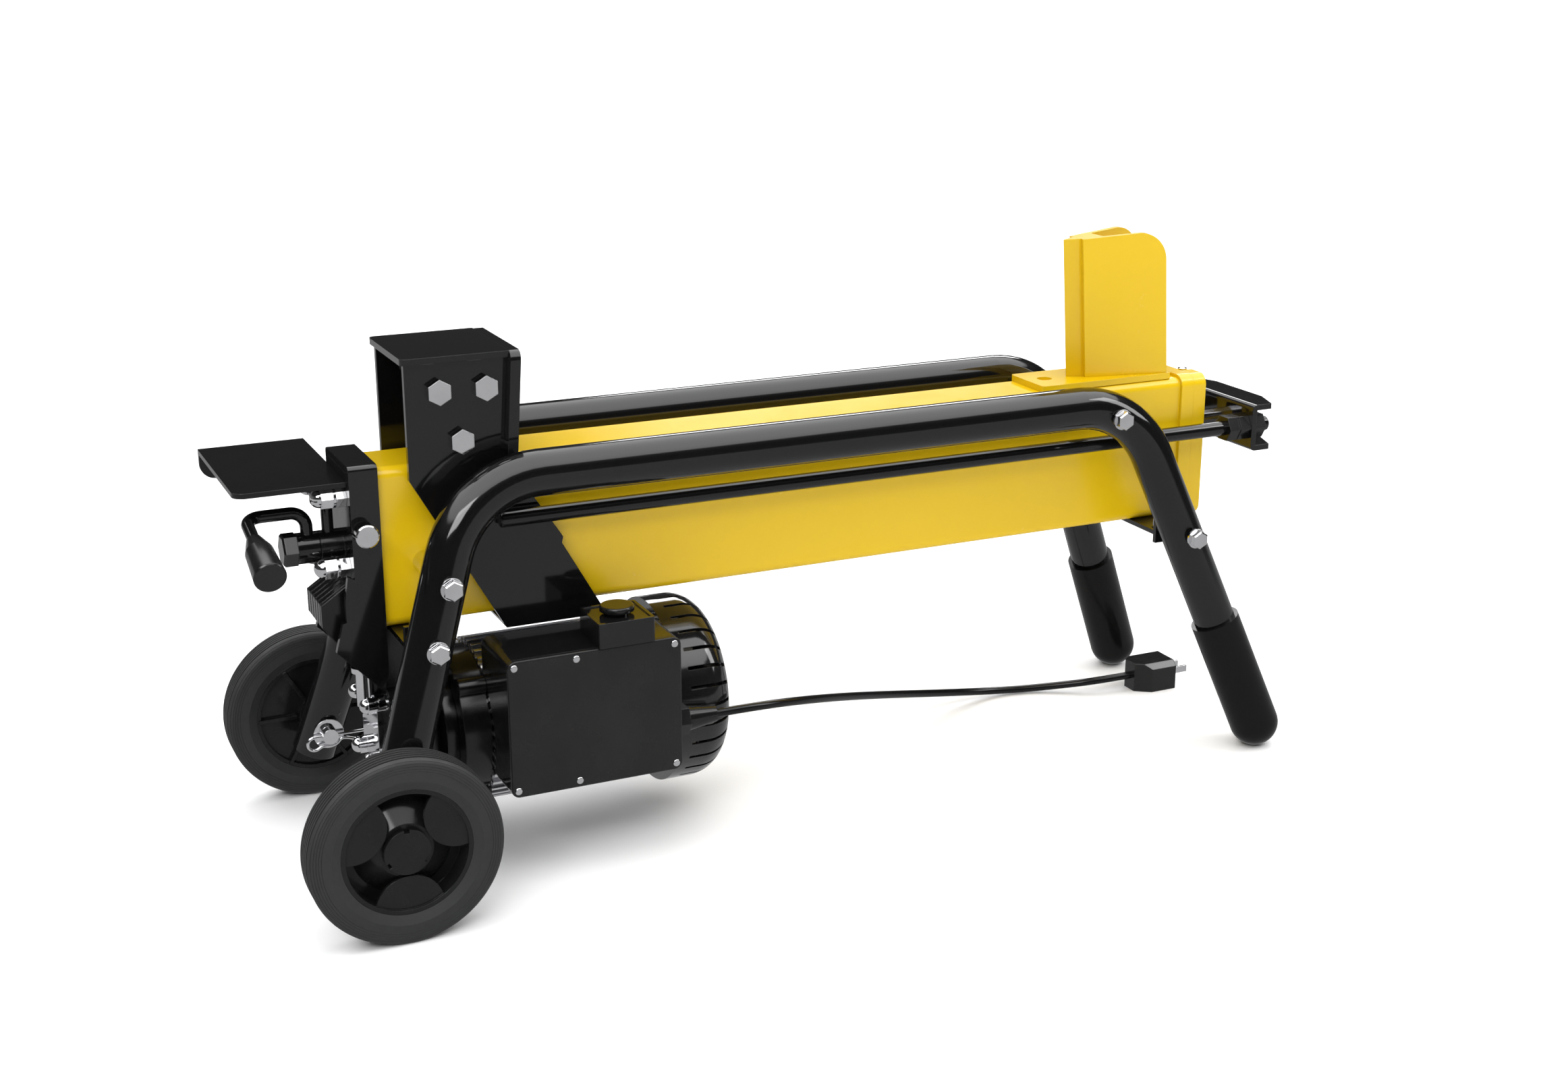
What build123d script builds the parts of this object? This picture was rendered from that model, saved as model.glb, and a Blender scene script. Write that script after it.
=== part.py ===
from build123d import *
import math
import os

# Electric horizontal log splitter.
# +X runs along the beam from the pump end to the wedge end, +Y to the left, +Z up.
# The origin is on the floor, under the centre of the bounding box. Millimetres.

os.makedirs("parts", exist_ok=True)

# ---------------------------------------------------------------- driving dimensions
half_length = 459.0           # hand guard edge to crossbar edge, each side of the origin
floor_z = 0.0

beam_x0 = -354.0              # pump end of the beam
beam_length = 738.0
beam_width = 62.0
beam_height = 126.0
beam_wall = 4.0
beam_corner = 8.0
beam_bottom = 199.0
beam_top = beam_bottom + beam_height
beam_mid = beam_bottom + beam_height / 2
beam_x1 = beam_x0 + beam_length
beam_half = beam_width / 2

log_length = 520.0            # from the push plate to the wedge's edge
stroke = 460.0

ram_z = 280.0                 # height of the ram and of both pull rods
bore_d = 40.0
barrel_d = 50.0
rod_d = 25.0
piston_length = 26.0
pull_rod_d = 13.0

saddle_outer = 42.5           # outer faces of the pusher's side plates
plate = 5.0                   # common plate thickness
pusher_x0 = beam_x0 + 22.0
push_face_x = beam_x0 + 104.0
pusher_height = 84.5
pusher_lean = 4.0             # degrees, towards the wedge
pull_rod_y = saddle_outer + pull_rod_d / 2

rail_d = 36.0
rail_wall = 2.0
rail_y = 72.0
rail_z = 320.0
rail_bend = 78.0

wheel_r = 73.0
wheel_width = 30.0
wheel_face_y = 162.0
wheel_x = beam_x0 - 24.0
wheel_mid_y = wheel_face_y - wheel_width / 2
axle_d = 13.0
fit_gap = 0.08                # radial clearance of every running fit

boot_d = 43.0
foot_x = beam_x0 + 766.0
foot_y = 113.5
leg_y = 111.0                 # middle of the wheel legs at axle height

motor_z = 103.0
motor_r = 66.0
fan_r = 77.0
motor_x0 = beam_x0 + 72.0
motor_x1 = beam_x0 + 232.0
fan_x1 = beam_x0 + 274.0

box_x0 = beam_x0 + 72.0
box_x1 = beam_x0 + 213.0
box_face_y = -105.0
box_z0 = 74.0
box_z1 = 185.0

bolt_d = 10.0                 # pusher bolts
bolt_af = 17.0
bolt_head = 6.4
rail_bolt_d = 8.0             # rail bolts
rail_bolt_af = 14.0

cord_d = 7.0
sides = {"right": -1, "left": 1}


def keep(piece, label):
    """Label a finished piece and write it as its own file."""
    piece.part.label = label
    export_step(piece.part, f"parts/{label}.step")


def hex_radius(across_flats):
    """Circumradius of a hexagon with this width across its flats."""
    return across_flats / math.sqrt(3)


# ---------------------------------------------------------------- derived lines
wheel_z = floor_z + wheel_r
pump_corner = {name: Vector(beam_x0 + 56, s * rail_y, rail_z) for name, s in sides.items()}
wedge_corner = {name: Vector(beam_x0 + 644.5, s * rail_y, rail_z) for name, s in sides.items()}
foot = {name: Vector(foot_x, s * foot_y, floor_z + boot_d / 2) for name, s in sides.items()}


def leg_point(top, end, height):
    """Point of a leg's middle line at a height."""
    share = (top.Z - height) / (top.Z - end.Z)
    return top + (end - top) * share


def disc(centre, direction, radius, length):
    """A round bar from a centre along a direction, added to the part in hand."""
    add(Solid.make_cylinder(radius, length, Plane(origin=centre, z_dir=direction)))


# ---------------------------------------------------------------- beam and wedge
rail_bolt_z = 312.0
rail_bolt_x = beam_x0 + 622.0
leg_bolt_z = (249.0, 204.0)   # heights of the two bolts through each wheel leg
foot_bolt_z = 203.0           # height of the bolt through each wedge-end leg
axle_point = {name: Vector(wheel_x, s * leg_y, wheel_z) for name, s in sides.items()}
upper_bolt = leg_point(pump_corner["left"], axle_point["left"], leg_bolt_z[0])

with BuildPart() as beam:
    with BuildSketch(Plane.YZ.offset(beam_x0)):
        with Locations((0, beam_mid)):
            RectangleRounded(beam_width, beam_height, beam_corner)
            RectangleRounded(beam_width - 2 * beam_wall, beam_height - 2 * beam_wall,
                             beam_corner - beam_wall, mode=Mode.SUBTRACT)
    extrude(amount=beam_length)
    for spot_x, spot_z in ((rail_bolt_x, rail_bolt_z), (upper_bolt.X, upper_bolt.Z)):
        with Locations(Plane(origin=(spot_x, 0, spot_z), z_dir=(0, 1, 0))):
            Cylinder(rail_bolt_d / 2, 3 * beam_width, mode=Mode.SUBTRACT)
keep(beam, "beam")

rear_plate_t = 8.0
with BuildPart() as rear_plate:
    with BuildSketch(Plane.YZ.offset(beam_x0)):
        with Locations((0, beam_mid)):
            RectangleRounded(beam_width - 2 * beam_wall, beam_height - 2 * beam_wall,
                             beam_corner - beam_wall)
        with Locations((0, ram_z)):
            Circle(9, mode=Mode.SUBTRACT)
    extrude(amount=rear_plate_t)
keep(rear_plate, "rear_plate")

# The end cap closes the beam and has a collar outside it, notched over the bleed screw.
cap_length = 13.0
collar_proud = 2.5
cap_x1 = beam_x1 + cap_length
with BuildPart() as end_cap:
    with BuildSketch(Plane.YZ.offset(beam_x1)):
        with Locations((0, beam_mid)):
            RectangleRounded(beam_width + 2 * collar_proud - 1, beam_height + 2 * collar_proud - 1,
                             beam_corner + collar_proud - 0.5)
        with Locations((0, ram_z)):
            Circle(rod_d / 2 + 3, mode=Mode.SUBTRACT)
    extrude(amount=cap_length)
    with BuildSketch(Plane.YZ.offset(beam_x1)):
        with Locations((0, beam_mid)):
            RectangleRounded(beam_width + 2 * collar_proud, beam_height + 2 * collar_proud,
                             beam_corner + collar_proud)
            RectangleRounded(beam_width, beam_height, beam_corner, mode=Mode.SUBTRACT)
    extrude(amount=-cap_length)
    with Locations((cap_x1, 12, beam_top + 10)):
        Box(2 * cap_length, beam_width - 18, 24, mode=Mode.SUBTRACT)
keep(end_cap, "end_cap")

with BuildPart() as bleed_screw:
    with BuildSketch(Plane.XY.offset(beam_top - 2)):
        with Locations((cap_x1 - 7, -6)):
            RegularPolygon(hex_radius(8), 6)
    extrude(amount=5)
    with Locations((cap_x1 - 7, -6, beam_top + 3)):
        Sphere(3.4, arc_size1=0)
keep(bleed_screw, "bleed_screw")

base_x0 = beam_x0 + 584.0
base_x1 = beam_x0 + 717.0
base_t = 5.5
base_half = 27.0
base_top = beam_top + base_t
hole_x = beam_x0 + 602.0
hole_d = 13.0
with BuildPart() as wedge_base_plate:
    with BuildSketch(Plane.XY.offset(beam_top)):
        with Locations(((base_x0 + base_x1) / 2, 0)):
            RectangleRounded(base_x1 - base_x0, 2 * base_half, 3)
        with Locations((hole_x, 0)):
            Circle(hole_d / 2, mode=Mode.SUBTRACT)
    extrude(amount=base_t)
keep(wedge_base_plate, "wedge_base_plate")

# The wedge leans towards the pusher: it is drawn on a tilted plane and cut at the base plate.
edge_x = push_face_x + log_length
wedge_height = 121.0
wedge_lean = 3.8
wedge_angle = 11.0            # between each wing and the beam's axis
wedge_root = 25.0             # how far the tilted pieces reach below the cut
blade_flank = 12.0
blade_half = 5.5
blade_depth = 34.0
wing_start = 14.0
wing_length = 77.0
wing_t = 5.0
wing_corner = 25.0
tilt = Plane(origin=(edge_x, 0, base_top)).rotated((0, -wedge_lean, 0))
base_cut = Plane.XY.offset(base_top)
flare = math.tan(math.radians(wedge_angle))


def blade_side(depth):
    """Half width of the blade behind its flanks."""
    return blade_half + (depth - blade_flank) * flare


with BuildPart() as wedge_blade:
    with BuildSketch(tilt.offset(-wedge_root)):
        with BuildLine():
            Polyline((0, 0), (blade_flank, -blade_half), (blade_depth, -blade_side(blade_depth)),
                     (blade_depth, blade_side(blade_depth)), (blade_flank, blade_half), close=True)
        make_face()
    extrude(amount=wedge_height + wedge_root)
    split(bisect_by=base_cut, keep=Keep.TOP)
keep(wedge_blade, "wedge_blade")

for name, s in sides.items():
    along = (tilt.x_dir + tilt.y_dir * s * flare).normalized()
    wing_origin = tilt.from_local_coords(Vector(wing_start, s * blade_side(wing_start), 0))
    wing_plane = Plane(origin=wing_origin, x_dir=along, z_dir=along.cross(tilt.z_dir))
    with BuildPart() as wing:
        with BuildSketch(wing_plane):
            with Locations((0, -wedge_root)):
                Rectangle(wing_length, wedge_height + wedge_root, align=(Align.MIN, Align.MIN))
            fillet(vertices().sort_by(Axis.Y)[-2:].sort_by(Axis.X)[-1], wing_corner)
        extrude(amount=-s * wing_t)
        split(bisect_by=base_cut, keep=Keep.TOP)
    keep(wing, f"wedge_wing_{name}")

# ---------------------------------------------------------------- rails and feet
axle_overrun = 24.0           # rail tube beyond the axle
boot_length = 108.0
boot_cover = 12.0             # solid rubber between the tube's end and the boot's round end

leg_dir = {name: (axle_point[name] - pump_corner[name]).normalized() for name in sides}
foot_dir = {name: (foot[name] - wedge_corner[name]).normalized() for name in sides}
foot_bolt = {name: leg_point(wedge_corner[name], foot[name], foot_bolt_z) for name in sides}

for name, s in sides.items():
    tube_start = axle_point[name] + leg_dir[name] * axle_overrun
    tube_end = foot[name] - foot_dir[name] * boot_cover
    with BuildPart() as rail:
        with BuildLine() as rail_path:
            FilletPolyline(tube_start, pump_corner[name], wedge_corner[name], tube_end, radius=rail_bend)
        with BuildSketch(Plane(origin=tube_start, z_dir=-leg_dir[name])):
            Circle(rail_d / 2)
            Circle(rail_d / 2 - rail_wall, mode=Mode.SUBTRACT)
        sweep(path=rail_path.line)
        for height in leg_bolt_z:
            spot = leg_point(pump_corner[name], axle_point[name], height)
            with Locations(Plane(origin=spot, z_dir=(0, 1, 0))):
                Cylinder(rail_bolt_d / 2, 2 * rail_d, mode=Mode.SUBTRACT)
        with Locations(Plane(origin=(rail_bolt_x, s * rail_y, rail_bolt_z), z_dir=(0, 1, 0))):
            Cylinder(rail_bolt_d / 2, 2 * rail_d, mode=Mode.SUBTRACT)
        with Locations(Plane(origin=axle_point[name], z_dir=(0, 1, 0))):
            Cylinder(axle_d / 2, 2 * rail_d, mode=Mode.SUBTRACT)
        with Locations(Plane(origin=foot_bolt[name], z_dir=(0, 1, 0))):
            Cylinder(rail_bolt_d / 2, 2 * rail_d, mode=Mode.SUBTRACT)
    keep(rail, f"rail_{name}")

    with BuildPart() as foot_boot:
        with BuildSketch(Plane(origin=foot[name], z_dir=-foot_dir[name])):
            Circle(boot_d / 2)
        extrude(amount=boot_length)
        with Locations(foot[name]):
            Sphere(boot_d / 2)
        with BuildSketch(Plane(origin=tube_end, z_dir=-foot_dir[name])):
            Circle(rail_d / 2)
        extrude(amount=boot_length, mode=Mode.SUBTRACT)
    keep(foot_boot, f"foot_boot_{name}")

# Brackets: a cross plate under the beam with an upright ear beside each leg.
ear_t = 4.0
ear_above = 13.0
ear_below = 11.0
cross_t = 4.0
nut_seat = 9.0                # room for a nut inside each ear
collar_r = 9.0
bolt_stand_off = 1.8          # washers ride on the crown of a leaning tube
leg_seat = rail_d / 2 / abs(leg_dir["left"].Z) + bolt_stand_off
foot_seat = rail_d / 2 / abs(foot_dir["left"].Z) + bolt_stand_off
leg_bolts = {name: [leg_point(pump_corner[name], axle_point[name], z) for z in leg_bolt_z]
             for name in sides}


def cross_bracket(x0, x1, bolt_at, seat):
    """Cross plate from x0 to x1 whose ears stand against the legs at a bolt."""
    ear_y = bolt_at.Y - seat
    with BuildPart() as piece:
        with Locations(((x0 + x1) / 2, 0, beam_bottom - cross_t / 2)):
            Box(x1 - x0, 2 * ear_y, cross_t)
        ear_z = beam_bottom + (ear_above - ear_below) / 2
        for y in (ear_y - ear_t / 2, ear_t / 2 - ear_y):
            with Locations(((x0 + x1) / 2, y, ear_z)):
                Box(x1 - x0, ear_t, ear_above + ear_below)
        with Locations(Plane(origin=(bolt_at.X, 0, bolt_at.Z), z_dir=(0, 1, 0))):
            Cylinder(rail_bolt_d / 2, 3 * ear_y, mode=Mode.SUBTRACT)
        for y in (ear_y - ear_t - nut_seat / 2, ear_t + nut_seat / 2 - ear_y):
            with Locations(Plane(origin=(bolt_at.X, y, bolt_at.Z), z_dir=(0, 1, 0))):
                Cylinder(collar_r, nut_seat, mode=Mode.SUBTRACT)
    return piece


keep(cross_bracket(beam_x0 + 5, beam_x0 + 35, leg_bolts["left"][1], leg_seat), "pump_end_bracket")
keep(cross_bracket(beam_x0 + 681, beam_x0 + 708, foot_bolt["left"], foot_seat), "wedge_end_bracket")

# Rail fasteners: hex bolts with washers outside the tubes, nuts inside, and the spacer
# collars between the beam and the rails.
washer_t = 2.0
nut_t = 6.5


def hex_bolt(grip, nut=True):
    """A hex bolt along +Z: washer and head below the seat, nut beyond the grip."""
    with BuildPart() as one:
        with BuildSketch():
            Circle(rail_bolt_af / 2 + 1.7)
        extrude(amount=-washer_t)
        with BuildSketch(Plane.XY.offset(-washer_t)):
            RegularPolygon(hex_radius(rail_bolt_af), 6)
        extrude(amount=-bolt_head)
        chamfer(one.faces().sort_by(Axis.Z)[0].edges(), 1)
        with BuildSketch():
            Circle(rail_bolt_d / 2)
        extrude(amount=grip)
        if nut:
            with BuildSketch(Plane.XY.offset(grip)):
                RegularPolygon(hex_radius(rail_bolt_af), 6)
            extrude(amount=nut_t)
    return one.part


rail_half = rail_d / 2
with BuildPart() as rail_bolts:
    for name, s in sides.items():
        upper, lower = leg_bolts[name]
        rail_spot = Vector(rail_bolt_x, s * rail_y, rail_bolt_z)
        rail_seat = rail_half + bolt_stand_off
        for spot, seat in ((lower, leg_seat), (foot_bolt[name], foot_seat)):
            with Locations(Plane(origin=spot + Vector(0, s * seat, 0), z_dir=(0, -s, 0))):
                add(hex_bolt(2 * seat + ear_t))
        for spot, seat in ((upper, leg_seat), (rail_spot, rail_seat)):
            out_y = s * spot.Y + seat
            with Locations(Plane(origin=(spot.X, s * out_y, spot.Z), z_dir=(0, -s, 0))):
                add(hex_bolt(out_y - beam_half + beam_wall, nut=False))
            disc((spot.X, s * beam_half, spot.Z), (0, s, 0), collar_r, out_y - 2 * seat - beam_half)
keep(rail_bolts, "rail_bolts")

# ---------------------------------------------------------------- wheels and axles
rim_r = 49.0
tread_grooves = 6
groove_w = 1.2
lip_r = 45.5
drum_r = 38.0
hub_r = 17.5
pad_count = 3
bore_r = axle_d / 2 + fit_gap
wheel_in_y = wheel_face_y - wheel_width
pin_head_y = wheel_face_y - 8.0
pin_in_y = leg_y - rail_half - 14.0

for name, s in sides.items():
    axis_plane = Plane(origin=(wheel_x, 0, wheel_z), x_dir=(1, 0, 0), z_dir=(0, s, 0))
    with BuildPart() as tyre:
        with BuildSketch(Plane(origin=(wheel_x, 0, wheel_z), x_dir=(0, s, 0), z_dir=(-s, 0, 0))):
            with BuildLine():
                Polyline((wheel_in_y + 3, rim_r), (wheel_face_y - 3, rim_r))
                Line((wheel_face_y - 3, rim_r), (wheel_face_y, rim_r + 7))
                Line((wheel_face_y, rim_r + 7), (wheel_face_y - 1, wheel_r - 6))
                RadiusArc((wheel_face_y - 1, wheel_r - 6), (wheel_face_y - 6, wheel_r), -6)
                Line((wheel_face_y - 6, wheel_r), (wheel_in_y + 6, wheel_r))
                RadiusArc((wheel_in_y + 6, wheel_r), (wheel_in_y + 1, wheel_r - 6), -6)
                Line((wheel_in_y + 1, wheel_r - 6), (wheel_in_y, rim_r + 7))
                Line((wheel_in_y, rim_r + 7), (wheel_in_y + 3, rim_r))
            make_face()
            with GridLocations((wheel_width - 11) / (tread_grooves - 1), 0, tread_grooves, 1):
                with Locations((wheel_mid_y, wheel_r)):
                    Rectangle(groove_w, 2.4, mode=Mode.SUBTRACT)
        revolve(axis=Axis((wheel_x, 0, wheel_z), (0, 1, 0)))
    keep(tyre, f"tyre_{name}")

    with BuildPart() as rim:
        with BuildSketch(axis_plane.offset(wheel_in_y + 3)):
            Circle(rim_r)
            Circle(lip_r, mode=Mode.SUBTRACT)
        extrude(amount=wheel_width - 6)
        with BuildSketch(axis_plane.offset(wheel_in_y + 6)):
            Circle(lip_r)
        extrude(amount=3)
        add(Solid.make_cone(drum_r, hub_r + 3, wheel_width - 17,
                            Plane(origin=axis_plane.offset(wheel_in_y + 9).origin,
                                  z_dir=axis_plane.z_dir)))
        with BuildSketch(axis_plane.offset(wheel_in_y + 1)):
            Circle(hub_r - 4)
        extrude(amount=wheel_width - 8)
        with BuildSketch(axis_plane.offset(wheel_in_y + 2)):
            with PolarLocations((lip_r + hub_r) / 2, 6):
                Rectangle(lip_r - hub_r + 4, 3)
        extrude(amount=5)
        with BuildSketch(axis_plane.offset(wheel_face_y - 8)):
            with PolarLocations(lip_r, pad_count, start_angle=30):
                Circle(26)
            Circle(lip_r + 1, mode=Mode.INTERSECT)
        extrude(amount=3)
        with BuildSketch(axis_plane.offset(wheel_in_y + 8)):
            with PolarLocations(lip_r, pad_count, start_angle=30):
                Circle(19)
            Circle(lip_r + 1, mode=Mode.INTERSECT)
        extrude(amount=wheel_width - 15)
        with BuildSketch(axis_plane):
            Circle(bore_r)
        extrude(amount=2 * wheel_face_y, mode=Mode.SUBTRACT)
        with BuildSketch(axis_plane.offset(pin_head_y - 4.5)):
            Circle(13)
        extrude(amount=20, mode=Mode.SUBTRACT)
    keep(rim, f"rim_{name}")

    with BuildPart() as hub_cap:
        with BuildSketch(axis_plane.offset(wheel_face_y - 7)):
            Circle(hub_r)
            with PolarLocations(hub_r - 1, pad_count, start_angle=90):
                Rectangle(3, 4, mode=Mode.SUBTRACT)
        extrude(amount=4)
    keep(hub_cap, f"hub_cap_{name}")

clip_wire = 2.6
clip_length = 44.0
ring_r = 5.6
clip_inset = 4.0
clip_leg = ((-5.5, -8.6), (0, -8.8), (6, -7.2), (13, -4.0), (19, -6.5))
with BuildPart() as axle_pins:
    for s in sides.values():
        with BuildSketch(Plane(origin=(wheel_x, s * pin_in_y, wheel_z), z_dir=(0, s, 0))):
            Circle(axle_d / 2)
        extrude(amount=pin_head_y - 4 - pin_in_y)
        with BuildSketch(Plane(origin=(wheel_x, s * (pin_head_y - 4), wheel_z), z_dir=(0, s, 0))):
            Circle(11.5)
        extrude(amount=3)
        clip_at = (wheel_x, s * (pin_in_y + clip_inset), wheel_z)
        with Locations(Plane(origin=clip_at, z_dir=(1, 0, 0))):
            Cylinder(clip_wire / 2, 2 * axle_d, mode=Mode.SUBTRACT)
keep(axle_pins, "axle_pins")

# Retaining clips: a wire through each axle, bent round to a ring and a lower leg, and a washer.
with BuildPart() as axle_clips:
    for s in sides.values():
        clip_y = s * (pin_in_y + clip_inset)
        with BuildLine(Plane((wheel_x, clip_y, wheel_z), x_dir=(1, 0, 0), z_dir=(0, -1, 0))):
            leg = Line((clip_length - axle_d, 0), (-axle_d, 0))
            ring = CenterArc((-axle_d, -ring_r), ring_r, 90, 215)
            Spline(ring @ 1, *clip_leg, tangents=[ring % 1, (1, -0.8)])
        with BuildSketch(Plane(origin=leg @ 0, z_dir=leg % 0)):
            Circle(clip_wire / 2)
        sweep()
        with BuildSketch(Plane(origin=(wheel_x, s * (pin_in_y + 8), wheel_z), z_dir=(0, s, 0))):
            Circle(12.5)
            Circle(axle_d / 2, mode=Mode.SUBTRACT)
        extrude(amount=2.5)
keep(axle_clips, "axle_clips")

# ---------------------------------------------------------------- hydraulic cylinder
barrel_x0 = beam_x0 + rear_plate_t
barrel_x1 = beam_x1 - 20.0
piston_x0 = barrel_x0 + 14.0
rod_end_x = cap_x1 + 6.0
web_x = beam_x0 + 783.0
spigot_d = 10.0
head_length = 34.0

with BuildPart() as cylinder_barrel:
    with BuildSketch(Plane.YZ.offset(barrel_x0)):
        with Locations((0, ram_z)):
            Circle(barrel_d / 2)
            Circle(bore_d / 2, mode=Mode.SUBTRACT)
    extrude(amount=barrel_x1 - barrel_x0)
keep(cylinder_barrel, "cylinder_barrel")

with BuildPart() as cylinder_head:
    with BuildSketch(Plane.YZ.offset(barrel_x1 - 15)):
        with Locations((0, ram_z)):
            Circle(bore_d / 2)
    extrude(amount=15)
    with BuildSketch(Plane.YZ.offset(barrel_x1)):
        with Locations((0, ram_z)):
            Circle(barrel_d / 2)
    extrude(amount=beam_x1 - barrel_x1)
    with BuildSketch(Plane.YZ.offset(barrel_x1 - 20)):
        with Locations((0, ram_z)):
            Circle(rod_d / 2 + fit_gap)
    extrude(amount=head_length + 20, mode=Mode.SUBTRACT)
keep(cylinder_head, "cylinder_head")

with BuildPart() as ram_rod:
    with BuildSketch(Plane.YZ.offset(piston_x0)):
        with Locations((0, ram_z)):
            Circle(bore_d / 2 - fit_gap)
    extrude(amount=piston_length)
    with BuildSketch(Plane.YZ.offset(piston_x0 + piston_length)):
        with Locations((0, ram_z)):
            Circle(rod_d / 2)
    extrude(amount=rod_end_x - piston_x0 - piston_length)
    with BuildSketch(Plane.YZ.offset(rod_end_x)):
        with Locations((0, ram_z)):
            Circle(spigot_d / 2)
    extrude(amount=web_x + 16 - rod_end_x)
keep(ram_rod, "ram_rod")

# ---------------------------------------------------------------- crossbar and pull rods
channel_half = 61.0
channel_z0 = 259.0
channel_z1 = 301.0
channel_mid = (channel_z0 + channel_z1) / 2
flange_end = 20.0
flange_mid = half_length - web_x
rod_x0 = beam_x0 + 88.0
rod_x1 = web_x + 24.0
nut_af = 21.0
cross_nut_t = 11.0

with BuildPart() as crossbar:
    with BuildSketch(Plane.XY.offset(channel_z0)):
        with BuildLine():
            Polyline((web_x, -channel_half), (web_x + flange_end, -channel_half),
                     (web_x + flange_mid, -34), (web_x + flange_mid, 34),
                     (web_x + flange_end, channel_half), (web_x, channel_half), close=True)
        make_face()
    extrude(amount=channel_z1 - channel_z0)
    with Locations((web_x + plate + 50, 0, channel_mid)):
        Box(100, 3 * channel_half, channel_z1 - channel_z0 - 2 * plate, mode=Mode.SUBTRACT)
    fillet(crossbar.edges().filter_by(Axis.Y).sort_by(Axis.X)[:2], plate - 0.5)
    with BuildSketch(Plane.YZ.offset(web_x)):
        with Locations((-pull_rod_y, ram_z), (pull_rod_y, ram_z)):
            Circle(pull_rod_d / 2)
        with Locations((0, ram_z)):
            Circle(spigot_d / 2)
    extrude(amount=plate, mode=Mode.SUBTRACT)
keep(crossbar, "crossbar")

with BuildPart() as pull_rods:
    with BuildSketch(Plane.YZ.offset(rod_x0)):
        with Locations((-pull_rod_y, ram_z), (pull_rod_y, ram_z)):
            Circle(pull_rod_d / 2)
    extrude(amount=rod_x1 - rod_x0)
    fillet(pull_rods.edges().filter_by(GeomType.CIRCLE).group_by(Axis.X)[0], 2)
    chamfer(pull_rods.edges().filter_by(GeomType.CIRCLE).group_by(Axis.X)[-1], 1)
keep(pull_rods, "pull_rods")

with BuildPart() as crossbar_nuts:
    for y, hole in ((-pull_rod_y, pull_rod_d), (pull_rod_y, pull_rod_d), (0, spigot_d)):
        for start in (web_x - 2 * cross_nut_t - 0.8, web_x - cross_nut_t, web_x + plate):
            if y == 0 and start < web_x:
                continue
            with BuildSketch(Plane.YZ.offset(start)):
                with Locations((y, ram_z)):
                    RegularPolygon(hex_radius(nut_af if y else 17), 6)
                    Circle(hole / 2, mode=Mode.SUBTRACT)
            extrude(amount=cross_nut_t)
keep(crossbar_nuts, "crossbar_nuts")

# ---------------------------------------------------------------- pusher
pusher_top = beam_top + pusher_height
top_plate_t = 5.0
side_top = pusher_top - top_plate_t
strap_z = beam_bottom - 9.0
strap_t = 5.0
tongue_slope = 0.56           # run along X for each millimetre of drop
lean_run = math.tan(math.radians(pusher_lean))
side_front = push_face_x - 8.0
push_t = 8.0
tongue_knee = beam_bottom + 59.0
pusher_bolt_spots = ((pusher_x0 + 25, side_top - 22), (pusher_x0 + 61, side_top - 22),
                     (pusher_x0 + 41, side_top - 61))
tongue_start = beam_top - 9.0


def back_x(z):
    """Back face of the leaning push plate at a height."""
    return push_face_x - push_t / math.cos(math.radians(pusher_lean)) + (z - beam_top - 2) * lean_run


def tongue_left(z):
    return pusher_x0 + (tongue_start - z) * tongue_slope


def tongue_right(z):
    return side_front + 4.0 + (beam_top + 6.0 - z) * tongue_slope


with BuildPart() as pusher_saddle:
    with BuildSketch(Plane.XZ.offset(-saddle_outer)):
        with BuildLine():
            Polyline((pusher_x0, side_top), (pusher_x0, tongue_start),
                     (tongue_left(strap_z), strap_z), (tongue_right(strap_z) - 4, strap_z),
                     (tongue_right(tongue_knee - 5) - 4, tongue_knee - 5),
                     (tongue_right(tongue_knee), tongue_knee),
                     (back_x(beam_top + 2), beam_top + 2), (back_x(side_top), side_top),
                     close=True)
        make_face()
    extrude(amount=2 * saddle_outer)
    with Locations((push_face_x, 0, strap_z + strap_t + 200)):
        Box(600, 2 * (saddle_outer - plate), 400, mode=Mode.SUBTRACT)
    with BuildSketch(Plane.XZ.offset(-saddle_outer)):
        with Locations(*pusher_bolt_spots):
            Circle(bolt_d / 2)
    extrude(amount=2 * saddle_outer, mode=Mode.SUBTRACT)
keep(pusher_saddle, "pusher_saddle")

push_half = 52.0
with BuildPart() as push_plate:
    with BuildSketch(Plane.YZ.offset(push_face_x - 30)):
        with Locations((0, beam_top + 2 + (pusher_height - 2) / 2)):
            Rectangle(2 * push_half, pusher_height - 2)
        fillet(vertices().group_by(Axis.Y)[-1], 8)
    extrude(amount=80)
    lean_plane = Plane(origin=(push_face_x, 0, beam_top + 2), z_dir=(1, 0, -lean_run))
    split(bisect_by=lean_plane, keep=Keep.BOTTOM)
    split(bisect_by=lean_plane.offset(-push_t), keep=Keep.TOP)
keep(push_plate, "push_plate")

top_half = 47.5
with BuildPart() as pusher_top_plate:
    with BuildSketch(Plane.XY.offset(side_top)):
        with Locations(((pusher_x0 - 3 + push_face_x + 5) / 2, 0)):
            Rectangle(push_face_x + 5 - pusher_x0 + 3, 2 * top_half)
        fillet(vertices().group_by(Axis.X)[0], 5)
    extrude(amount=top_plate_t)
    split(bisect_by=lean_plane.offset(-push_t), keep=Keep.BOTTOM)
keep(pusher_top_plate, "pusher_top_plate")

# Guide pads between the pusher's side plates and the beam.
pad_gap = 0.5
pad_y0 = beam_half + pad_gap
pad_y1 = saddle_outer - plate
with BuildPart() as guide_pads:
    for s in sides.values():
        with Locations((pusher_x0 + 48, s * (pad_y0 + pad_y1) / 2, beam_mid + 20)):
            Box(40, pad_y1 - pad_y0, 40)
keep(guide_pads, "guide_pads")

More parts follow.
